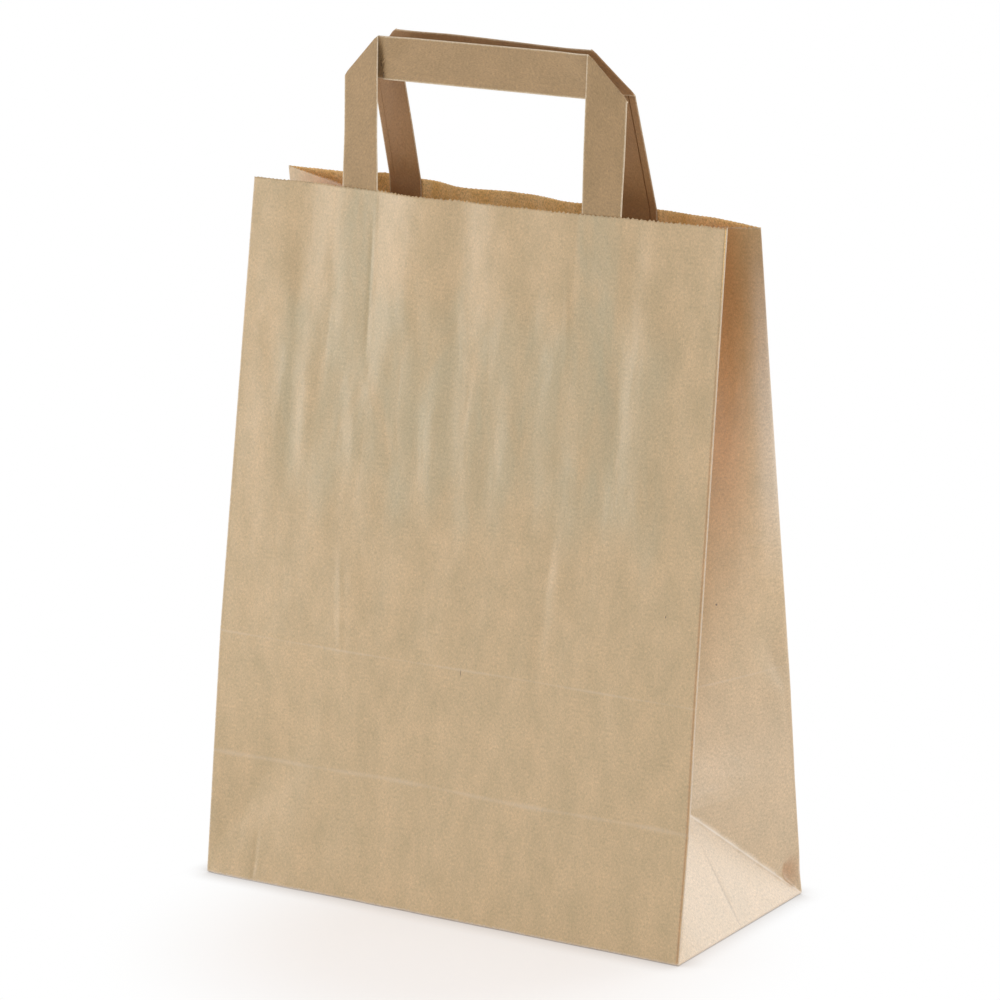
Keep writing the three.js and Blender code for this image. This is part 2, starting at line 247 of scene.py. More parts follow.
def back_relief(x, h):
    """The back panel, lying flat on the handle's legs where they are glued under its rim."""
    out = free_back_relief(x, h)
    for side, slope in LEG_SLOPES:
        middle = side * LEG_MIDDLE[BACK] + HANDLE_SHIFT[BACK]
        on_leg = (1 - ramp(np.abs(x - middle), 13, 20)) * ramp(h, HEIGHT - 40, HEIGHT - 8)
        level = free_back_relief(np.array(middle), h) + slope * (x - middle)
        out = out + (level - out) * on_leg
    return out


def panel_point(face, x, h):
    """A panel's middle surface."""
    x = np.asarray(x, float)
    share = ((x / HALF_WIDTH + 1) / 2)[..., None]
    point = edge_point(face, LEFT, h) * (1 - share) + edge_point(face, RIGHT, h) * share
    relief = front_relief(x, h) if face == FRONT else back_relief(x, h)
    inset = np.clip((HALF_WIDTH - np.abs(x)) / 6, 0, 1)
    point[..., 1] += face * relief * inset
    if face == BACK:
        ends = rim_drift(-HALF_WIDTH, h) * (1 - share[..., 0]) + rim_drift(HALF_WIDTH, h) * share[..., 0]
        point[..., 2] += rim_drift(x, h) - ends
    return point


def gusset_apex(side):
    back_lean = math.asin((HALF_DEPTH - rim_y(BACK, side)) / HEIGHT)
    lean = (CREASE_LEAN + back_lean) / 2
    tilt = math.acos((1 - math.sin(lean)) / math.cos(lean))
    return np.array([side * (HALF_WIDTH - GUSSET * math.sin(tilt)), 0, GUSSET * math.cos(tilt)])


def centre_fold(side, h):
    """A gusset's centre fold: over its triangle, then straight to the rim."""
    apex = gusset_apex(side)
    inward = math.sqrt(HALF_DEPTH ** 2 - (MOUTH_GAP / 2) ** 2)
    x = side * (HALF_WIDTH - inward)
    y = (rim_y(FRONT, side) + rim_y(BACK, side)) / 2
    length = HEIGHT - GUSSET
    top = np.array([x, y, apex[2] + math.sqrt(length ** 2 - (x - apex[0]) ** 2 - (y - apex[1]) ** 2)])
    foot = np.array([side * HALF_WIDTH, 0, 0])
    h = np.asarray(h, float)[..., None]
    low = foot + (apex - foot) * np.minimum(h / GUSSET, 1)
    return np.where(h <= GUSSET, low, apex + (top - apex) * (h - GUSSET) / length)


SECOND_SLANT = 1.6
EDGE_DENT = 2.2
CORNER_DENT = 5.0
CENTRE_RIDGE = 0.22


def gusset_point(face, side, off, h):
    """Half a gusset, at a distance off its panel's edge. Below the crease it is three flat triangles."""
    share = np.asarray(off, float) / GUSSET
    climb = np.asarray(h, float) / GUSSET
    share, climb = np.broadcast_arrays(share, climb)
    edge = edge_point(face, side, h)
    fold = centre_fold(side, h)
    upper = edge + (fold - edge) * share[..., None]
    rise = np.clip((climb - 1) * GUSSET / (HEIGHT - GUSSET), 0, 1)
    if (face, side) == (BACK, RIGHT):
        # near the rim this half lies against the back panel before it turns away to the centre fold
        past = (share - 0.42) / 0.58
        away = (past + np.sqrt(past ** 2 + 0.015)) / 2
        bent = edge[..., 1] + (fold - edge)[..., 1] * away
        upper[..., 1] += (bent - upper[..., 1]) * 0.92 * ramp(rise, 0.25, 1)
    if face == BACK:
        # lower down it is sprung outwards, and turns most beside its softly pressed edge
        sprung = 1.35 * ramp(rise, 0.08, 0.4) * (1 - ramp(rise, 0.4, 1.05))
        curved = np.power(np.clip(1 - share, 1e-9, 1), 1 + sprung) - (1 - share)
        upper[..., 1] += (edge - fold)[..., 1] * curved
    # a soft second slant, from the fold mark on the panel's edge down to the top of the base triangle
    from_slant = climb + share * 0.9 - FOLD_MARK / GUSSET
    slant = np.maximum(0, 1 - np.sqrt(from_slant ** 2 + 0.006) / 0.6)
    slant = slant * np.sin(math.pi * np.clip(share, 0, 1)) ** 0.7
    upper[..., 0] -= side * SECOND_SLANT * slant * ramp(rise, 0, 0.1)
    if face == BACK:
        # knocked in and out beside the fold mark
        dents = bump(h, FOLD_MARK + 8, 10) - 0.5 * bump(h, FOLD_MARK - 12, 6)
        upper[..., 0] -= side * EDGE_DENT * bump(off, 6.5, 3.5) * dents
    middle = fold.copy()
    middle[..., 1] = face * HALF_DEPTH * (1 - share)
    middle[..., 0] -= side * CENTRE_RIDGE * bump((1 - share) * GUSSET, 0, 1.6) * ramp(climb, 0, 0.3)
    corner = edge_point(face, side, 0) * (1 - climb)[..., None]
    corner = corner + edge_point(face, side, GUSSET) * (climb - share)[..., None]
    corner = corner + gusset_apex(side) * share[..., None]
    if face == BACK:
        # and crumpled just over the corner of the base
        corner[..., 0] -= side * CORNER_DENT * bump(off, 5, 3.2) * bump(h, 12, 6)
    lower = np.where((share >= climb)[..., None], middle, corner)
    return np.where((climb <= 1)[..., None], lower, upper)


SEAM_PLACE = 78.0  # outer free edge of the lap seam, from the middle of the back panel
SEAM_OVERLAP = 20.0
SEAM_EASE = 6.0  # over which the upper ply of the seam comes down to the panel
BACK_START = SEAM_PLACE + HALF_WIDTH  # along u, of the back panel's left edge
LEFT_END = BACK_START + DEPTH
FRONT_END = LEFT_END + 2 * HALF_WIDTH
RIGHT_END = FRONT_END + DEPTH
SHEET_END = RIGHT_END + HALF_WIDTH - SEAM_PLACE + SEAM_OVERLAP
FOLDS = [BACK_START, BACK_START + GUSSET, LEFT_END, FRONT_END, FRONT_END + GUSSET, RIGHT_END]


def on_gusset(u):
    return ((u > BACK_START) & (u < LEFT_END)) | ((u > FRONT_END) & (u < RIGHT_END))


def sharp_point(u, h):
    """The folded sheet before its folds are rounded. It starts and ends at the lap seam."""
    u, h = np.broadcast_arrays(np.asarray(u, float), np.asarray(h, float))
    lap = np.clip(1 - (u - SEAM_OVERLAP) / SEAM_EASE, 0, 1)
    back = panel_point(BACK, SEAM_PLACE - u, h) + stack(0, 1.15 * PAPER * lap, 0)
    left_back = gusset_point(BACK, LEFT, u - BACK_START, h)
    left_front = gusset_point(FRONT, LEFT, LEFT_END - u, h)
    front = panel_point(FRONT, u - LEFT_END - HALF_WIDTH, h)
    right_front = gusset_point(FRONT, RIGHT, u - FRONT_END, h)
    right_back = gusset_point(BACK, RIGHT, RIGHT_END - u, h)
    end = panel_point(BACK, HALF_WIDTH - (u - RIGHT_END), h)
    places = [back, left_back, left_front, front, right_front, right_back]
    point = end
    for limit, zone in reversed(list(zip(FOLDS, places))):
        point = np.where((u <= limit)[..., None], zone, point)
    return point


BASE_BEAD = 1.1  # radius to which the sheet's lower edge is pressed
GROOVE_DEPTH = 0.4
GROOVE_PLACE = 1.1  # from the front right fold


def fold_round(fold, h):
    """Length of paper on each side that a fold takes to turn. The back right one is softly pressed."""
    if fold == RIGHT_END:
        return 1.4 + 2.6 * ramp(h, 70, 130) * (1 - ramp(h, 260, 330))
    return 1.0 + 0.2 * (fold == LEFT_END) - 0.35 * (fold == FRONT_END) + 0 * h


def sheet_point(u, h):
    """The sheet with its upright folds turned to a small round bead, and a groove pressed beside it."""
    u, h = np.broadcast_arrays(np.asarray(u, float), np.asarray(h, float))
    point = sharp_point(u, h)
    for fold in FOLDS:
        reach = fold_round(fold, h)
        near = np.abs(u - fold) < reach
        if near.any():
            reach = reach[near]
            t = ((u[near] - fold) / reach + 1)[..., None] / 2
            before = sharp_point(fold - reach, h[near])
            after = sharp_point(fold + reach, h[near])
            corner = sharp_point(fold, h[near])
            corner = corner + (corner - (before + after) / 2) * 0.8
            point[near] = before * (1 - t) ** 2 + corner * 2 * t * (1 - t) + after * t ** 2
    point[..., 1] += GROOVE_DEPTH * bump(FRONT_END - u, GROOVE_PLACE, 0.3)
    # the lower edge is pressed to a small bead too
    low = np.clip(1 - h / BASE_BEAD, 0, 1)
    under = BASE_BEAD * (1 - np.sqrt(1 - low ** 2))
    point[..., 0] -= np.sign(point[..., 0]) * under * np.where(on_gusset(u), 1, 0.3)
    point[..., 1] -= np.sign(point[..., 1]) * under * np.where(on_gusset(u), 0.3, 1)
    return point


FAR = 99  # from any mark


def fold_distance(u, h):
    """Distance on the flat sheet to the nearest hard fold, stretched where the fold's wear is less wide. The
    paler line drawn from it is partly wear and partly a painted highlight on the fold beads and the lower
    edge's bead.
    """
    edges = ((BACK_START, 1), (LEFT_END, 0.8), (FRONT_END, 1.5), (RIGHT_END, 1))
    off = np.min([np.abs(u - fold) * stretch for fold, stretch in edges], axis=0)
    centre = np.min([np.abs(u - FOLDS[1]), np.abs(u - FOLDS[4])], axis=0) + np.maximum(0, GUSSET - h)
    slant = np.where(on_gusset(u), np.abs(off - h) / math.sqrt(2), FAR)
    return np.min([off, centre, slant, h * 0.6], axis=0)


def paint_sheen(u, h):
    """Painted sheen and highlight: how far the paper is painted paler along the soft back edges, and low
    down on the gussets.
    """
    painted_sheen_share = np.zeros(np.broadcast(u, h).shape)
    for start, back in ((FRONT_END, RIGHT_END), (LEFT_END, BACK_START)):
        inside = (min(start, back) < u) & (u < max(start, back))
        edge = 0.55 * (1 - ramp(np.abs(u - back), 0, 12)) * ramp(h, 140, 230) * (1 - ramp(h, 290, 345))
        off = np.minimum(np.abs(u - start), np.abs(u - back))
        foot = 0.2 * (1 - ramp(h, 70, 190)) * ramp(np.abs(u - start), 0, 30) + 0.26 * (h < off)
        painted_sheen_share = np.maximum(painted_sheen_share, inside * np.maximum(edge, foot))
    return painted_sheen_share


def mark_distance(u, h):
    """Distance to the nearest faint crease: the panels' cross crease and their fold mark."""
    broken = 0.36 * (1 - np.sin(u / 19) * np.sin(u / 7.3 + 2))
    cross = np.where(on_gusset(u), FAR, np.abs(h - GUSSET - 0.5 * np.sin(u / 21)) * 0.6 + broken)
    return np.minimum(cross, np.abs(h - FOLD_MARK) + 0.45 + 0.25 * np.sin(u / 11))


def backing(u, h):
    """How far a leg or patch behind the paper keeps light from coming through it, painted as shade, and has
    cockled it.
    """
    front_x = u - LEFT_END - HALF_WIDTH
    back_x = SEAM_PLACE - u
    last_x = SEAM_PLACE - u + SHEET_END - SEAM_OVERLAP
    dark = np.zeros(np.broadcast(u, h).shape)
    damp = np.zeros(dark.shape)
    for face, x in ((FRONT, front_x), (BACK, back_x), (BACK, last_x)):
        on_panel = np.abs(x) < HALF_WIDTH
        leg = leg_imprint(face, x, h)
        ragged = h + 6 * np.sin(x / 7.3) + 5 * np.sin(x / 3.1 + 1) + 4 * np.sin(x / 17 + 2)
        patch = (1 - ramp(np.abs(x - HANDLE_SHIFT[face]), 100, 113)) * ramp(ragged, 176, 208)
        patch = patch * (1 - ramp(h + 4 * np.sin(x / 5.3) + 3 * np.sin(x / 2.3 + 2), 274, 294))
        dark = np.maximum(dark, on_panel * np.maximum(leg, patch * 0.8))
        damp = np.maximum(damp, on_panel * np.maximum(patch - leg * 0.6, 0))
    return dark, damp


def painted_recess_shade(u, h):
    """Painted shade: how far a place lies inside a gusset or crease, where light comes only off and through
    brown paper, and a painted dark patch over the crumpled back right corner.
    """
    depth = np.zeros(np.broadcast(u, h).shape)
    for start, end in ((BACK_START, LEFT_END), (FRONT_END, RIGHT_END)):
        off = np.minimum(u - start, end - u)
        depth = np.maximum(depth, ramp(off, 1, 26) * ramp(h, 125, 255))
    # painted shade: a dark patch where the paper is crumpled just over the back right corner of the base
    painted_corner_shade = 0.95 * bump(RIGHT_END - u, 4.5, 3.8) * bump(h, 13, 7) * (u < RIGHT_END)
    # painted shade in the line pressed beside the front right fold
    pressed = 0.9 * bump(FRONT_END - u, 1.2, 0.45) * (1 - ramp(h, 200, 320)) * (h > 0)
    return np.max([depth, painted_corner_shade, pressed], axis=0)


def spaced(start, end, pitch):
    return list(np.linspace(start, end, max(1, round(abs(end - start) / pitch)) + 1))


# Offsets from a fold at which the sheet's columns stand. The rows below the crease use the same ones,
# so that the slanting folds run through the corners of the mesh.
BESIDE_FOLD = [0, 0.3, 0.6, 0.9, 1.2, 1.5, 1.75, 2.1, 2.6, 3.4, 4.6]
BESIDE_CENTRE = [0, 0.6, 1.2, 2.1, 3.4]
half_gusset = BESIDE_FOLD + spaced(6, GUSSET - 5, 3.3)
half_gusset += [GUSSET - off for off in reversed(BESIDE_CENTRE)]


def panel_offsets(pitch):
    far_side = [2 * HALF_WIDTH - off for off in reversed(BESIDE_FOLD)]
    return BESIDE_FOLD + spaced(6, 2 * HALF_WIDTH - 6, pitch) + far_side


FRONT_PITCH = 2.6
BACK_PITCH = 3.2
CREASE_PITCH = 0.65
back_offsets = panel_offsets(BACK_PITCH)
fine_front = []
for start, end in ((-67, -56), (48, 54), (-105, -101)):
    fine_front += [x + HALF_WIDTH for x in spaced(start, end, CREASE_PITCH)]
columns = spaced(0, SEAM_OVERLAP + SEAM_EASE, FRONT_PITCH)
columns += [BACK_START - off for off in back_offsets if BACK_START - off > SEAM_OVERLAP + SEAM_EASE + 1]
columns += [BACK_START + off for off in half_gusset] + [LEFT_END - off for off in half_gusset]
columns += [LEFT_END + off for off in panel_offsets(FRONT_PITCH) + fine_front]
columns += [FRONT_END + off for off in half_gusset] + [RIGHT_END - off for off in half_gusset]
columns += [RIGHT_END + off for off in back_offsets if RIGHT_END + off < SHEET_END - 1] + [SHEET_END]
columns = np.unique(np.round(columns, 4))
columns = columns[np.concatenate([[True], np.diff(columns) > 0.2])]
TOOTH_PITCH = 2.2  # of the saw-cut rim
TOOTH_HEIGHT = 1.2
rows = half_gusset + [GUSSET + off for off in (0.7, 1.6, 3.0)]
rows += spaced(GUSSET + 6, FOLD_MARK - 4, 3.4) + spaced(FOLD_MARK - 3, FOLD_MARK + 3, 0.75)
rows = np.array(rows + spaced(FOLD_MARK + 4, HEIGHT - 5, 3.7) + [HEIGHT - 2.2])

grid_u, grid_h = np.meshgrid(columns, rows)
sheet_u, sheet_h = list(grid_u.ravel()), list(grid_h.ravel())
across = len(columns)
sheet_faces = []
for r in range(len(rows) - 1):
    for c in range(across - 1):
        a, b = r * across + c, r * across + c + 1
        d, e = a + across, b + across
        # on a gusset the slanting fold is the cell's own diagonal
        falling = any(end - GUSSET <= columns[c] < end for end in (LEFT_END, RIGHT_END))
        sheet_faces += [[a, b, d], [b, e, d]] if falling else [[a, b, e], [a, e, d]]
# the saw-cut rim: a row of fine columns, and over it their teeth
top_row = (len(rows) - 1) * across
teeth = np.arange(TOOTH_PITCH / 2, SHEET_END, TOOTH_PITCH / 2)
teeth = teeth[np.min(np.abs(teeth[:, None] - columns[None, :]), axis=1) > 0.15]
rim_u = np.sort(np.concatenate([columns, teeth]))
uneven = np.random.default_rng(5).uniform(0.15, 1.1, len(rim_u))
tooth = np.abs((rim_u / TOOTH_PITCH) % 1 - 0.5) * 2 - 0.5
tooth = tooth * np.where((rim_u < BACK_START) | (rim_u > RIGHT_END), 0.3, 1)
tooth = tooth * (1 - 0.6 * bump(rim_u, LEFT_END + 15, 28))
fine_row = len(sheet_u)
tooth_row = fine_row + len(rim_u)
sheet_u += list(rim_u) * 2
sheet_h += [HEIGHT - 1] * len(rim_u) + list(HEIGHT + TOOTH_HEIGHT * tooth * uneven)
rim_place = {round(u, 4): i for i, u in enumerate(rim_u)}
for c in range(across - 1):
    start = rim_place[round(columns[c], 4)]
    end = rim_place[round(columns[c + 1], 4)]
    for i in range(start, end):
        sheet_faces.append([top_row + c, fine_row + i + 1, fine_row + i])
    sheet_faces.append([top_row + c, top_row + c + 1, fine_row + end])
for i in range(len(rim_u) - 1):
    a, b = fine_row + i, fine_row + i + 1
    sheet_faces += [[a, b, tooth_row + i + 1], [a, tooth_row + i + 1, tooth_row + i]]
sheet_points = sheet_point(np.array(sheet_u), np.array(sheet_h))

# The block bottom lies in plies: the front flap outermost, then the back flap and the front flap's
# tucked ends, then the ends of the gussets, which were folded in first
FLAP_REACH = GUSSET + 12.0
PLY_PITCH = 1.02 * PAPER
PLY_ROWS = 9
PLY_COLUMNS = 13
base_lines = []


def add_base_ply(outline, level):
    """A flat ply of the base from its four corners, with a stretch of the paper's pattern of its own."""
    first = len(sheet_u)
    a, b, c, d = (np.array(corner, float) for corner in outline)
    along = np.linspace(0, 1, PLY_COLUMNS)
    for share in np.linspace(0, 1, PLY_ROWS):
        low = a + (b - a) * along[:, None]
        high = d + (c - d) * along[:, None]
        line = low + (high - low) * share
        base_lines.append(np.column_stack([line, np.full(PLY_COLUMNS, (level + 0.5) * PLY_PITCH)]))
        sheet_u.extend(line[:, 0] + 400 + 40 * level)
        sheet_h.extend(-20 - np.abs(line[:, 1]))
    for r in range(PLY_ROWS - 1):
        for k in range(PLY_COLUMNS - 1):
            q = first + r * PLY_COLUMNS + k
            above = q + PLY_COLUMNS
            sheet_faces.extend([[q, above, above + 1], [q, above + 1, q + 1]])


def turned(outline):
    """The same corners, run the other way round."""
    a, b, c, d = outline
    return [b, a, d, c]


for face, level in ((FRONT, 0), (BACK, 1)):
    x = HALF_WIDTH - BASE_BEAD - 0.75 * level * PAPER
    y = face * (HALF_DEPTH - BASE_BEAD)
    inner = y - face * FLAP_REACH
    ends = [(-x, y), (x, y), (x - FLAP_REACH, inner), (FLAP_REACH - x, inner)]
    add_base_ply(ends if face == FRONT else turned(ends), level)
near_y = BASE_BEAD - HALF_DEPTH
tuck_y = FLAP_REACH - HALF_DEPTH
for side in (LEFT, RIGHT):
    outer = side * (HALF_WIDTH - BASE_BEAD - 0.75 * PAPER)
    inner = outer - side * FLAP_REACH
    tuck = [(outer, near_y), (inner, near_y), (inner, tuck_y), (inner + side * 0.5, tuck_y)]
    add_base_ply(tuck if side == LEFT else turned(tuck), 1)
    outer = side * (HALF_WIDTH - BASE_BEAD - 1.5 * PAPER)
    inner = outer - side * FLAP_REACH
    end = [(outer, near_y), (inner, near_y), (inner, -near_y), (outer, -near_y)]
    add_base_ply(end if side == LEFT else turned(end), 2)
sheet_points = np.vstack([sheet_points] + base_lines)

MM = 0.001


def paper_piece(name, points, faces, u, h, marks, finishes):
    """Paper as a closed thin solid, from its middle surface: outer face, inner face and cut edges."""
    count = len(points)
    middle = bpy.data.meshes.new(name + "_middle")
    middle.from_pydata((points * MM).tolist(), [], faces)
    normals = np.empty(count * 3, np.float32)
    middle.vertex_normals.foreach_get("vector", normals)
    normals = normals.reshape(-1, 3)
    bpy.data.meshes.remove(middle)
    outer = points + normals * PAPER / 2
    inner = points - normals * PAPER / 2
    used = set()
    for face in faces:
        used.update(zip(face, face[1:] + face[:1]))
    cut = [[b, a, a + count, b + count] for a, b in used if (b, a) not in used]
    cut.sort()
    backs = [[i + count for i in reversed(face)] for face in faces]
    mesh = bpy.data.meshes.new(name)
    mesh.from_pydata((np.vstack([outer, inner]) * MM).tolist(), [], faces + backs + cut)
    kinds = [0] * len(faces) + [1] * (len(backs) + len(cut))
    mesh.polygons.foreach_set("material_index", kinds)
    smooth = [True] * (len(faces) + len(backs)) + [False] * len(cut)
    mesh.polygons.foreach_set("use_smooth", smooth)
    corners = np.empty(len(mesh.loops), np.int32)
    mesh.loops.foreach_get("vertex_index", corners)
    places = np.column_stack([np.tile(u, 2), np.tile(h, 2)])[corners] * MM
    layer = mesh.uv_layers.new(name="sheet")
    layer.data.foreach_set("uv", places.astype(np.float32).ravel())
    for mark, values in marks.items():
        layer = mesh.attributes.new(mark, "FLOAT", "POINT")
        layer.data.foreach_set("value", np.tile(values, 2).astype(np.float32))
    mesh.update()
    for finish in finishes:
        mesh.materials.append(finish)
    piece = bpy.data.objects.new(name, mesh)
    bpy.context.scene.collection.objects.link(piece)
    return piece


def linear(hex_colour):
    """An sRGB hex colour as linear RGBA."""
    parts = [int(hex_colour[i:i + 2], 16) / 255 for i in (1, 3, 5)]
    return [p / 12.92 if p <= 0.04045 else ((p + 0.055) / 1.055) ** 2.4 for p in parts] + [1]


def add(tree, kind, inputs=(), **settings):
    """One shader node with its settings. Each input takes a value or the socket that feeds it."""
    made = tree.nodes.new("ShaderNode" + kind)
    for name, value in settings.items():
        setattr(made, name, value)
    for name, value in dict(inputs).items():
        if isinstance(value, bpy.types.NodeSocket):
            tree.links.new(value, made.inputs[name])
        else:
            made.inputs[name].default_value = value
    return made


PAPER_IOR = 1.6
BARK = "#4f3622"
# tint painted into the colour where a place lies in shade between folds
PAINTED_RECESS_TINT = (0.98, 0.74, 0.55)  # what is left of white light between folds of brown paper


def kraft_paper(name, shaded, cool, warm, wear_and_highlight, rough, glaze, contrast, specks=()):
    """Unbleached kraft: long brown fibres pressed in a cloudy, faintly upright grain, paler where a fold
    has broken them. Painted shade makes it greyer where something lies behind it and browner in folds
    and hollows, and a painted sheen makes it paler in places. Matt, with a slight glaze."""
    material = bpy.data.materials.new(name)
    material.use_nodes = True
    tree = material.node_tree
    tree.nodes.clear()
    place = add(tree, "UVMap", uv_map="sheet").outputs["UV"]
    in_mm = add(tree, "VectorMath", {0: place, 1: (1 / MM, 1 / MM, 0)}, operation="MULTIPLY").outputs[0]
    backed, damp, painted_recess_share, painted_sheen_share = (
        add(tree, "Attribute", attribute_name=mark, attribute_type="GEOMETRY").outputs["Fac"]
        for mark in ("backed", "cockled", "painted_recess_shade", "painted_sheen")
    )
    # width and length, in millimetres, of the clouds, the streaks and the single fibres
    cloud_place, streak_place, fibre_place = (
        add(tree, "VectorMath", {0: in_mm, 1: (1 / wide, 1 / long, 1)}, operation="MULTIPLY").outputs[0]
        for wide, long in ((12, 24), (14, 52), (0.4, 1.3))
    )
    # clouds with ragged edges, where the pulp settled unevenly
    clouds = add(tree, "TexNoise", {"Vector": cloud_place, "Scale": 1, "Detail": 6, "Roughness": 0.7})
    cloud = add(tree, "MapRange", {0: clouds.outputs[0], 1: 0.33, 2: 0.67, 3: 0, 4: 1}, clamp=True)
    tint = add(tree, "Mix", {0: cloud.outputs[0], 6: linear(cool), 7: linear(warm)}, data_type="RGBA")
    # upright streaks, which show where a patch behind has cockled the paper
    streaks = add(tree, "TexNoise", {
        "Vector": streak_place, "Scale": 1, "Detail": 3, "Roughness": 0.55, "Distortion": 0.6,
    })
    streak = add(tree, "MapRange", {0: streaks.outputs[0], 1: 0.34, 2: 0.66, 3: 0.2, 4: 1}, clamp=True)
    # painted shade: greyer in streaks where a leg or patch behind keeps out the light that shines through
    grey = add(tree, "Math", {0: backed, 1: streak.outputs[0]}, operation="MULTIPLY")
    body = add(tree, "Mix", {
        0: grey.outputs[0], 6: tint.outputs[2], 7: linear(shaded),
    }, data_type="RGBA")
    # painted shade: browner inside the gussets, in the pressed line and over the crumpled corner
    painted_recess_colour = add(tree, "VectorMath", {0: body.outputs[2], 1: PAINTED_RECESS_TINT}, operation="MULTIPLY")
    body = add(tree, "Mix", {0: painted_recess_share, 6: body.outputs[2], 7: painted_recess_colour.outputs[0]}, data_type="RGBA")
    # painted sheen and highlight: paler along the soft back edges and low on the gussets
    body = add(tree, "Mix", {0: painted_sheen_share, 6: body.outputs[2], 7: linear(wear_and_highlight)}, data_type="RGBA")
    # flocks of fibre about 1.3 mm across, and single fibres
    flocks = add(tree, "TexNoise", {"Vector": in_mm, "Scale": 1 / 1.3, "Detail": 3, "Roughness": 0.8})
    fibres = add(tree, "TexNoise", {"Vector": fibre_place, "Scale": 1, "Detail": 3, "Roughness": 0.7})
    grain = add(tree, "Math", {0: flocks.outputs[0], 1: fibres.outputs[0]}, operation="ADD")
    levels = {1: 0.7, 2: 1.3, 3: 1 - contrast, 4: 1 + contrast}
    shade = add(tree, "MapRange", {0: grain.outputs[0], **levels}, clamp=False).outputs[0]
    shown = add(tree, "VectorMath", {0: body.outputs[2], "Scale": shade}, operation="SCALE").outputs[0]
    # bark specks and bruised lines, each at its place with its width, length and strength
    for u, h, wide, long, strength in specks:
        off = add(tree, "VectorMath", {0: in_mm, 1: (u, h, 0)}, operation="SUBTRACT").outputs[0]
        shaped = add(tree, "VectorMath", {0: off, 1: (1 / wide, 1 / long, 1)}, operation="MULTIPLY")
        far = add(tree, "VectorMath", {0: shaped.outputs[0]}, operation="LENGTH").outputs["Value"]
        dark = add(tree, "MapRange", {0: far, 1: 0.25, 2: 0.6, 3: strength, 4: 0}, clamp=True).outputs[0]
        shown = add(tree, "Mix", {0: dark, 6: shown, 7: linear(BARK)}, data_type="RGBA").outputs[2]
    # broken fibres: bare on a hard fold, over less than a millimetre to each side, faint on a soft mark.
    # Along the fold beads and the lower edge's bead this paler colour also paints a highlight
    for mark, low, high, most in (("fold_mm", 0.9, 1.6, 0.8), ("mark_mm", 0.6, 2.0, 0.24)):
        near = add(tree, "Attribute", attribute_name=mark, attribute_type="GEOMETRY").outputs["Fac"]
        ragged = add(tree, "Math", {0: flocks.outputs[0], 1: 1.6, 2: near}, operation="MULTIPLY_ADD")
        levels = {1: low, 2: high, 3: most, 4: 0}
        bare = add(tree, "MapRange", {0: ragged.outputs[0], **levels}, clamp=True).outputs[0]
        shown = add(tree, "Mix", {0: bare, 6: shown, 7: linear(wear_and_highlight)}, data_type="RGBA").outputs[2]
    cockles = add(tree, "TexNoise", {"Vector": in_mm, "Scale": 1 / 9, "Detail": 2, "Roughness": 0.5})
    pleat = add(tree, "Math", {0: streaks.outputs[0], 1: damp}, operation="MULTIPLY")
    folds = add(tree, "Bump", {"Height": pleat.outputs[0], "Strength": 1.0, "Distance": 0.0005})
    waves = add(tree, "Bump", {"Height": cockles.outputs[0], "Strength": 0.5, "Distance": 0.0007,
                               "Normal": folds.outputs[0]})
    bumps = add(tree, "Bump", {"Height": grain.outputs[0], "Strength": 0.4, "Distance": 0.0001,
                               "Normal": waves.outputs[0]})
    shader = add(tree, "BsdfPrincipled", {
        "Base Color": shown, "Roughness": rough, "Specular IOR Level": glaze, "IOR": PAPER_IOR,
        "Normal": bumps.outputs[0],
    })
    add(tree, "OutputMaterial", {"Surface": shader.outputs[0]})
    return material


front_middle = LEFT_END + HALF_WIDTH
SPECK = 0.85  # how dark a speck of bark is
BRUISE = 0.2
bark_specks = [
    (front_middle + 111.3, 158.1, 0.7, 1.3, SPECK), (FRONT_END + 91, 157, 1.1, 1.1, SPECK),
    (front_middle + 5.2, 117, 0.4, 3.5, SPECK), (70, 205, 0.9, 1.2, SPECK), (160, 96, 1.0, 0.8, SPECK),
    (BACK_START + 40, 210, 0.9, 1.0, SPECK),
    # the gussets' centre folds, flattened out again where they cross the base triangles
    (FRONT_END + GUSSET, 20, 1.9, 44, BRUISE), (BACK_START + GUSSET, 20, 1.9, 44, BRUISE),
]
kraft_outside = kraft_paper(
    "kraft_paper_outside", shaded="#b4a27c", cool="#b99e72", warm="#ccac7f", wear_and_highlight="#e6d7c6",
    rough=0.38, glaze=1.0, contrast=0.24, specks=bark_specks,
)
# The inside is painted a bright golden that stands in for light shining through the paper and bouncing
# inside the bag.
kraft_inside_painted_glow = kraft_paper(
    "kraft_paper_inside_painted_backlight", shaded="#f0c682", cool="#e8ba74", warm="#f8d49c", wear_and_highlight="#f8e6c8",
    rough=0.9, glaze=0.3, contrast=0.4,
)
all_u = np.array(sheet_u)
all_h = np.array(sheet_h)
shaded, damp = backing(all_u, all_h)
sheet_marks = {
    "fold_mm": fold_distance(all_u, all_h), "mark_mm": mark_distance(all_u, all_h),
    "painted_sheen": paint_sheen(all_u, all_h), "backed": shaded, "cockled": damp, "painted_recess_shade": painted_recess_shade(all_u, all_h),
}
bag_body = paper_piece("kraft_body", sheet_points, sheet_faces, sheet_u, sheet_h, sheet_marks,
                       [kraft_outside, kraft_inside_painted_glow])
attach(bag_body, "root")
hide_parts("bag_body")


# Handles: each one strip of browner kraft, folded in plies to a flat band 20 mm wide, and turned over
# at 45 degrees at both upper corners. The two legs are glued inside a panel, the bar lies behind them.

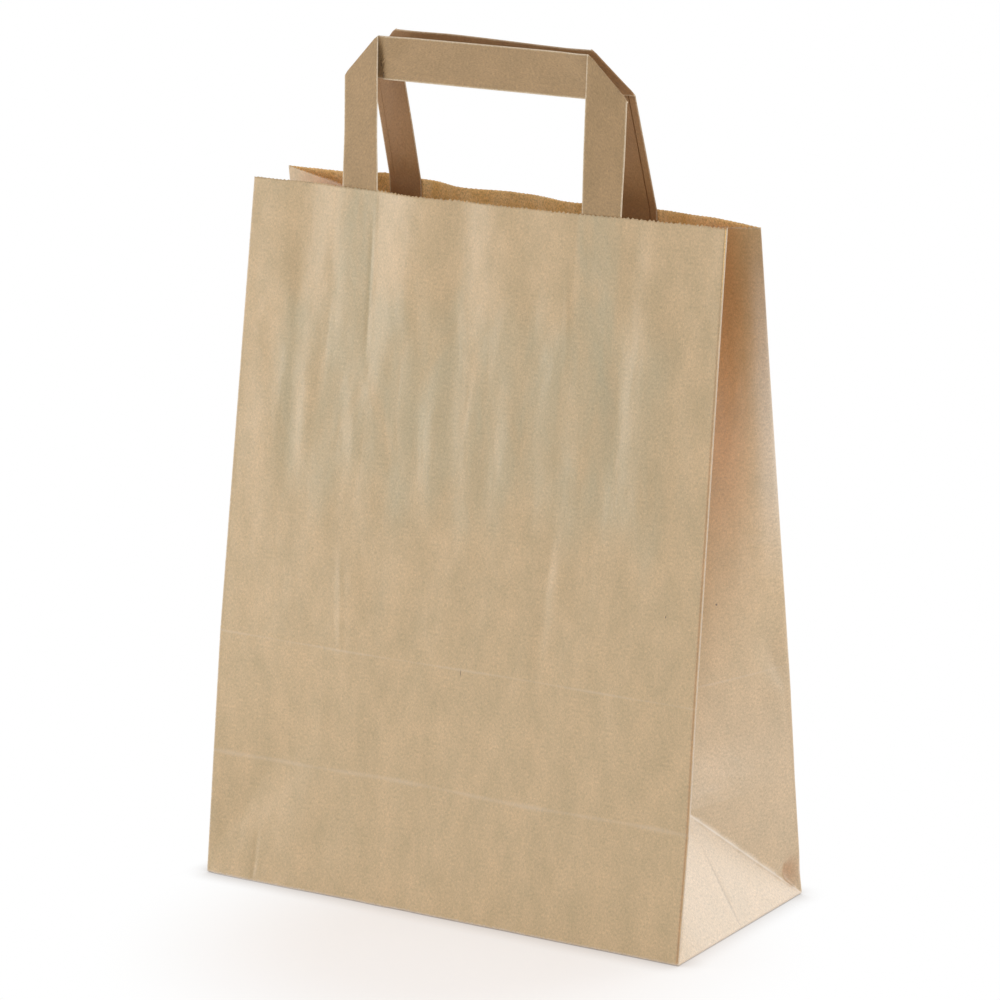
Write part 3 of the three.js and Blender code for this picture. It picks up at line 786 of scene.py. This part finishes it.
STRIP_WIDTH = 20.4
STRIP_THICKNESS = 0.5
HANDLE_WIDTH = {face: 2 * LEG_MIDDLE[face] + STRIP_WIDTH for face in (FRONT, BACK)}
GLUE_GAP = 0.2
LEG_DEPTH = PAPER / 2 + GLUE_GAP + STRIP_THICKNESS / 2
HANDLE_RISE = {FRONT: 72.0, BACK: 76.4}
HANDLE_LEAN = {FRONT: math.radians(2.6), BACK: math.radians(15.5)}
GLUED_LEAN = {FRONT: math.radians(6), BACK: math.radians(9)}  # of the legs below the rim
LEG_SPLAY = {FRONT: 1.0, BACK: -2.3}
HANDLE_SWAY = {FRONT: 0.0, BACK: -2.3}
LEG_TWIST = {(FRONT, LEFT): -0.13, (FRONT, RIGHT): 0.14, (BACK, LEFT): -0.14, (BACK, RIGHT): 0.0}
BACK_BOW = 2.2  # by which the back handle's bar stands away from the front one
FOLD_RADIUS = 0.35  # half the distance between the middles of the plies at a turned corner

# The strip's section, round its edge: place across it, and height over its middle. On the back handle
# the free edge of the last ply leaves an open seam along the face that lies towards the bag.
SEAM_FLOOR = -0.1
SEAM_PRESSED = 0.12
SEAM_FLUSH = 0.22
strip_section = [(0.0, 0.0), (0.08, -0.16), (0.3, -0.25)]
strip_section += [(across, -0.25) for across in np.linspace(2, 18.4, 9)]
strip_section += [(20.1, -0.25), (20.32, -0.16), (20.4, 0.0), (20.32, 0.16), (20.1, 0.25)]
strip_section += [(across, 0.25) for across in np.linspace(18.4, 6, 7)]
strip_section += [(4.6, 0.25), (4.2, 0.25), (4.15, SEAM_FLOOR), (3.6, SEAM_FLOOR)]
strip_section += [(3.55, 0.2), (2.0, 0.2), (0.3, 0.2), (0.08, 0.12)]
section_across = np.array([place for place, _ in strip_section])
seam_over = np.array([over for _, over in strip_section])
flush_over = np.where(seam_over == SEAM_FLOOR, SEAM_FLUSH, seam_over)
section_round = np.clip(np.minimum(section_across, STRIP_WIDTH - section_across) / 1.5, 0, 1)


def handle_point(face, x, rise, depth, twist=1):
    """A place on a handle: over its panel below the rim, and above it on a plane that leans in."""
    over = np.maximum(rise, 0)
    share = over / HANDLE_RISE[face]
    splay = 1 + LEG_SPLAY[face] / (HANDLE_WIDTH[face] / 2) * share
    x = x * splay + HANDLE_SHIFT[face] + HANDLE_SWAY[face] * share
    point = panel_point(face, x, HEIGHT + np.minimum(rise, 0))
    middles = [np.array(side * LEG_MIDDLE[face] + HANDLE_SHIFT[face]) for side in (LEFT, RIGHT)]
    left, right = (panel_point(face, middle, np.array(HEIGHT)) for middle in middles)
    straight = left[1] + (right[1] - left[1]) * (x - left[0]) / (right[0] - left[0])
    if face == BACK:
        straight = straight + BACK_BOW * np.cos(math.pi / 2 * np.clip(x / LEG_MIDDLE[BACK], -1, 1))
    # the legs above the rim are turned a little from the panel
    for side, leg in ((LEFT, left), (RIGHT, right)):
        inward = -side * (x - leg[0])
        straight = straight - side * LEG_TWIST[face, side] * inward * (1 - ramp(inward, 9, 40)) * twist
    level = left[2] + (right[2] - left[2]) * (x - left[0]) / (right[0] - left[0])
    point[..., 1] += (straight - point[..., 1]) * ramp(rise, 0.5, 30)
    point[..., 2] += (level - point[..., 2]) * ramp(rise, 0, 30)
    lean = HANDLE_LEAN[face]
    turn = np.where(rise > 0, lean, GLUED_LEAN[face])
    point[..., 1] -= face * over * math.sin(lean)
    point[..., 2] += over * math.cos(lean)
    point[..., 1] -= face * depth * np.cos(turn)
    point[..., 2] -= depth * np.sin(turn)
    return point


UNWORN = 9.0  # so far from a fold that no wear shows
PLAIN_MARKS = ("painted_sheen", "backed", "cockled", "painted_recess_shade")


def strip_handle(name, face, finish):
    low = HANDLE_RISE[face] - STRIP_WIDTH
    half = HANDLE_WIDTH[face] / 2
    section_over = seam_over if face == BACK else flush_over
    rings = []

    def leg_ring(side, foot, slope):
        x = side * (half - section_across)
        # the seam is pressed nearly shut on the left
        pressed = np.where(section_over == SEAM_FLOOR, SEAM_PRESSED, section_over)
        over = pressed if side == LEFT else section_over
        return handle_point(face, x, foot + slope * section_across, LEG_DEPTH + over)

    def turn_ring(side, angle):
        reach = (FOLD_RADIUS - section_over) * math.sin(angle) * math.sqrt(0.5) * section_round
        x = side * (half - section_across + reach)
        depth = LEG_DEPTH + FOLD_RADIUS - (FOLD_RADIUS - section_over) * math.cos(angle)
        return handle_point(face, x, low + section_across + reach, depth)

    def bar_ring(along):
        x = (2 * along - 1) * (half - section_across)
        # the front bar springs open from its left fold and comes forward again beside the leg, the back
        # bar's lower edge stands off its right leg
        from_left = along * (2 * half - 2 * section_across) / math.sqrt(2)
        from_right = (1 - along) * (2 * half - 2 * section_across) / math.sqrt(2)
        if face == FRONT:
            from_leg = half - STRIP_WIDTH + x
            opened = np.interp(from_leg, (-9, 0.2, 1.1, 6, 30, 110), (5.0, 4.6, 0.8, 0.5, 0.5, 0.1))
            spring = np.minimum(0.28 * from_left, opened)
        else:
            spring = np.minimum(0.12 * from_right, 1.1) * (1 - ramp(from_right, 15, 60))
        depth = LEG_DEPTH + 2 * FOLD_RADIUS - section_over + spring
        near_fold = 1 - ramp(np.minimum(from_left, from_right), 0, 15)
        return handle_point(face, x, low + section_across, depth, near_fold if face == FRONT else 1)

    for side in (LEFT, RIGHT):
        leg = [leg_ring(side, foot, 0) for foot in np.linspace(-LEG_LENGTH, 0, 30)]
        leg += [leg_ring(side, share * low, share) for share in np.linspace(0, 1, 20)[1:]]
        turn = [turn_ring(side, angle) for angle in np.linspace(0, math.pi, 8)[1:-1]]
        if side == LEFT:
            runs = np.concatenate([np.linspace(0, 0.24, 70), np.linspace(0.24, 1, 42)[1:]])
            rings += leg + turn + [bar_ring(along) for along in runs]
        else:
            rings += turn[::-1] + leg[::-1]
    count = len(section_across)
    points = np.vstack(rings)
    faces = []
    for r in range(len(rings) - 1):
        for k in range(count):
            a = r * count + k
            b = r * count + (k + 1) % count
            faces.append([a, b, b + count, a + count])
    caps = [list(range(count))[::-1], list(range((len(rings) - 1) * count, len(rings) * count))]
    faces += caps
    if face == BACK:
        faces = [quad[::-1] for quad in faces]
    mesh = bpy.data.meshes.new(name)
    mesh.from_pydata((points * MM).tolist(), [], faces)
    steps = [np.linalg.norm(b.mean(0) - a.mean(0)) for a, b in zip(rings, rings[1:])]
    along = np.repeat(np.concatenate([[0], np.cumsum(steps)]), count)
    corners = np.empty(len(mesh.loops), np.int32)
    mesh.loops.foreach_get("vertex_index", corners)
    girth = np.tile(section_across + np.where(section_over > 0, 25, 0), len(rings))
    places = np.column_stack([girth, along])[corners] * MM
    layer = mesh.uv_layers.new(name="sheet")
    layer.data.foreach_set("uv", places.astype(np.float32).ravel())
    # the strip's edges get the paler colour of wear, which also paints a highlight along them
    edge = np.minimum(section_across, STRIP_WIDTH - section_across)
    marks = {"fold_mm": edge, "mark_mm": edge + UNWORN, **dict.fromkeys(PLAIN_MARKS, edge * 0)}
    for mark, values in marks.items():
        layer = mesh.attributes.new(mark, "FLOAT", "POINT")
        layer.data.foreach_set("value", np.tile(values, len(rings)).astype(np.float32))
    mesh.polygons.foreach_set("use_smooth", [True] * (len(faces) - 2) + [False] * 2)
    mesh.set_sharp_from_angle(angle=math.radians(50))
    mesh.materials.append(finish)
    piece = bpy.data.objects.new(name, mesh)
    bpy.context.scene.collection.objects.link(piece)
    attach(piece, "root")
    return piece


kraft_strip = kraft_paper(
    "kraft_strip_plies", shaded="#a78960", cool="#a1835a", warm="#ae8d63", wear_and_highlight="#e8d6ba",
    rough=0.6, glaze=0.6, contrast=0.26,
)
front_handle = strip_handle("front_strip_handle", FRONT, kraft_strip)
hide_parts("front_handle")
# The back handle gets a copy of the strip's paper painted darker and redder for the shade it stands in.
painted_shade_strip = kraft_paper(
    "kraft_strip_painted_shade", shaded="#9e764a", cool="#987047", warm="#a47b4f", wear_and_highlight="#e2ccac",
    rough=0.6, glaze=0.5, contrast=0.26,
)
back_handle = strip_handle("back_strip_handle", BACK, painted_shade_strip)
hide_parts("back_handle")


# Patches: a sheet of kraft glued inside each panel, over the ends of the handle's legs. It lies on the
# panel, climbs over the legs, and is cut square.

PATCH_WIDTH = 216.0
PATCH_HEIGHT = 98.0
PATCH_DROP = 50.0
PATCH_RAMP = 5.0
BESIDE_LEG = (-15.2, -12.7, -10.2, 0, 10.2, 12.7, 15.2)


def handle_patch(name, face, finish):
    over_legs = [side * (LEG_MIDDLE[face] + off) for side in (LEFT, RIGHT) for off in BESIDE_LEG]
    xs = np.unique(np.round(spaced(-PATCH_WIDTH / 2, PATCH_WIDTH / 2, 3.0) + over_legs, 3))
    hs = np.array(spaced(HEIGHT - PATCH_DROP - PATCH_HEIGHT, HEIGHT - PATCH_DROP, 3.2))
    x, h = np.meshgrid(xs, hs)
    beside = 1 - (np.abs(np.abs(x) - LEG_MIDDLE[face]) - LEG_HALF - GLUE_GAP) / PATCH_RAMP
    below = 1 - (HEIGHT - h - LEG_LENGTH - GLUE_GAP) / PATCH_RAMP
    over_leg = np.clip(np.minimum(beside, below), 0, 1)
    depth = PAPER + GLUE_GAP + over_leg * (STRIP_THICKNESS + GLUE_GAP)
    points = handle_point(face, x, h - HEIGHT, depth)
    wide = len(xs)
    faces = []
    for r in range(len(hs) - 1):
        for c in range(wide - 1):
            a = r * wide + c
            pair = [[a, a + 1, a + wide + 1], [a, a + wide + 1, a + wide]]
            faces += pair if face == FRONT else [corner[::-1] for corner in pair]
    points = points.reshape(-1, 3)
    far = np.full(len(points), UNWORN)
    marks = {"fold_mm": far, "mark_mm": far, **dict.fromkeys(PLAIN_MARKS, far * 0)}
    piece = paper_piece(name, points, faces, list(x.ravel()), list(h.ravel()), marks, [finish, finish])
    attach(piece, "root")
    return piece


front_patch = handle_patch("front_handle_patch_sheet", FRONT, kraft_inside_painted_glow)
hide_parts("front_handle_patch")
back_patch = handle_patch("back_handle_patch_sheet", BACK, kraft_inside_painted_glow)
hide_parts("back_handle_patch")


# Studio, in metres: a white floor that runs into a white surround, from which most of the light comes.
# Four weak lamps stand right, behind and left. The floor shows the bag's soft shadow only close to it, and a
# painted contact shadow where it stands.

FLOOR = 6.0
FLOOR_DROP = 0.0002
CONTACT_REACH = 0.013
CONTACT_SHADE = 0.3
SHADOW_GLOW = 0.53  # light that fills the soft shadow before the bag
SHADOW_MIDDLE = (0.03, -0.09, 0)
SURROUND = 0.73
CONTACT_TINT = "#fff3ea"
floor_corners = [(-FLOOR, -FLOOR, 0), (FLOOR, -FLOOR, 0), (FLOOR, FLOOR, 0), (-FLOOR, FLOOR, 0)]
floor_mesh = bpy.data.meshes.new("floor")
floor_mesh.from_pydata(floor_corners, [], [[0, 1, 2, 3]])
floor = bpy.data.objects.new("floor", floor_mesh)
floor.location.z = -FLOOR_DROP
bpy.context.scene.collection.objects.link(floor)
white_floor = bpy.data.materials.new("white_studio_floor")
white_floor.use_nodes = True
tree = white_floor.node_tree
tree.nodes.clear()
ray = add(tree, "LightPath")
paint = add(tree, "BsdfDiffuse", {"Color": linear("#f4f2f0")})
half_paint = add(tree, "BsdfDiffuse", {"Color": linear("#bcb6b3")})
# painted contact shadow: an occlusion node dims and warms the floor's glow and white close to the bag
open_sky = add(tree, "AmbientOcclusion", {"Distance": CONTACT_REACH}).outputs["AO"]
closed_in = add(tree, "MapRange", {0: open_sky, 1: 0, 2: 1, 3: CONTACT_SHADE, 4: 1}).outputs[0]
soft = add(tree, "Math", {0: closed_in, 1: SHADOW_GLOW}, operation="MULTIPLY").outputs[0]
warm_glow, warm_white = (
    add(tree, "Mix", {0: open_sky, 6: linear(CONTACT_TINT), 7: linear(tint)}, data_type="RGBA")
    for tint in ("#fffdfb", "#ffffff")
)
glow = add(tree, "Emission", {"Color": warm_glow.outputs[2], "Strength": soft})
lit = add(tree, "AddShader", {0: half_paint.outputs[0], 1: glow.outputs[0]})
white = add(tree, "Emission", {"Color": warm_white.outputs[2], "Strength": closed_in})
spot = add(tree, "NewGeometry").outputs["Position"]
from_bag = add(tree, "VectorMath", {0: spot, 1: SHADOW_MIDDLE}, operation="DISTANCE").outputs["Value"]
away = add(tree, "MapRange", {
    0: from_bag, 1: 0.05, 2: 0.17, 3: 0, 4: 1,
}, interpolation_type="SMOOTHSTEP")
seen = add(tree, "MixShader", {0: away.outputs[0], 1: lit.outputs[0], 2: white.outputs[0]})
direct = add(tree, "Math", {
    0: ray.outputs["Is Camera Ray"], 1: ray.outputs["Is Glossy Ray"],
}, operation="MAXIMUM")
mixed = add(tree, "MixShader", {0: direct.outputs[0], 1: paint.outputs[0], 2: seen.outputs[0]})
add(tree, "OutputMaterial", {"Surface": mixed.outputs[0]})
floor_mesh.materials.append(white_floor)

world = bpy.data.worlds.new("white_surround")
bpy.context.scene.world = world
world.use_nodes = True
tree = world.node_tree
tree.nodes.clear()
ray = add(tree, "LightPath")
surround, backdrop = (
    add(tree, "Background", {"Color": linear("#ffffff"), "Strength": strength}).outputs[0]
    for strength in (SURROUND, 1.0)
)
mixed = add(tree, "MixShader", {0: ray.outputs["Is Camera Ray"], 1: surround, 2: backdrop})
add(tree, "OutputWorld", {"Surface": mixed.outputs[0]})


def facing(place, aim):
    """The turn of a lamp or camera that looks from a place at its aim."""
    back = np.array(place) - np.array(aim)
    back = back / np.linalg.norm(back)
    right = np.cross((0, 0, 1), back)
    right = right / np.linalg.norm(right)
    return Matrix(np.column_stack([right, np.cross(back, right), back]).tolist()).to_euler()


def soft_light(name, place, aim, size, watts, colour, sheen=True):
    lamp = bpy.data.lights.new(name, "AREA")
    lamp.shape = "DISK"
    lamp.size = size
    lamp.energy = watts
    lamp.color = linear(colour)[:3]
    light = bpy.data.objects.new(name, lamp)
    bpy.context.scene.collection.objects.link(light)
    light.location = place
    light.rotation_euler = facing(place, aim)
    light.visible_glossy = sheen


soft_light("right_window", (2.2, 0.05, 0.3), (0, 0, 0.2), 1.2, 14, "#ffffff")
soft_light("back_right_key", (1.1, 1.95, 0.85), (0, 0, 0.1), 1.4, 9.8, "#ffffff")
soft_light("left_window", (-1.95, -0.95, 0.3), (0, 0, 0.2), 1.3, 5.5, "#ffffff")
# a polarised panel near the front's left, which lights the paper without a sheen
soft_light("left_panel", (-1.1, -0.7, 0.1), (0, 0, 0.15), 0.8, 7.4, "#f2f9ff", sheen=False)

# Camera: where the photograph was taken from, fitted to the bag's corners and its handles' corners.
# Its focal length is in sensor widths.

SENSOR = 36
FOCAL_LENGTH = 4.5525
AZIMUTH = math.radians(31.327)
ELEVATION = math.radians(13.858)
DISTANCE = 2.128
TARGET = np.array([0.000156, -0.002394, 0.188683])
level = math.cos(ELEVATION)
towards = np.array([math.sin(AZIMUTH) * level, -math.cos(AZIMUTH) * level, math.sin(ELEVATION)])
lens = bpy.data.cameras.new("camera")
lens.sensor_width = SENSOR
lens.lens = SENSOR * FOCAL_LENGTH
camera = bpy.data.objects.new("camera", lens)
bpy.context.scene.collection.objects.link(camera)
camera.location = TARGET + towards * DISTANCE
camera.rotation_euler = facing(TARGET + towards * DISTANCE, TARGET)
bpy.context.scene.camera = camera
bpy.context.scene.view_settings.view_transform = "Standard"
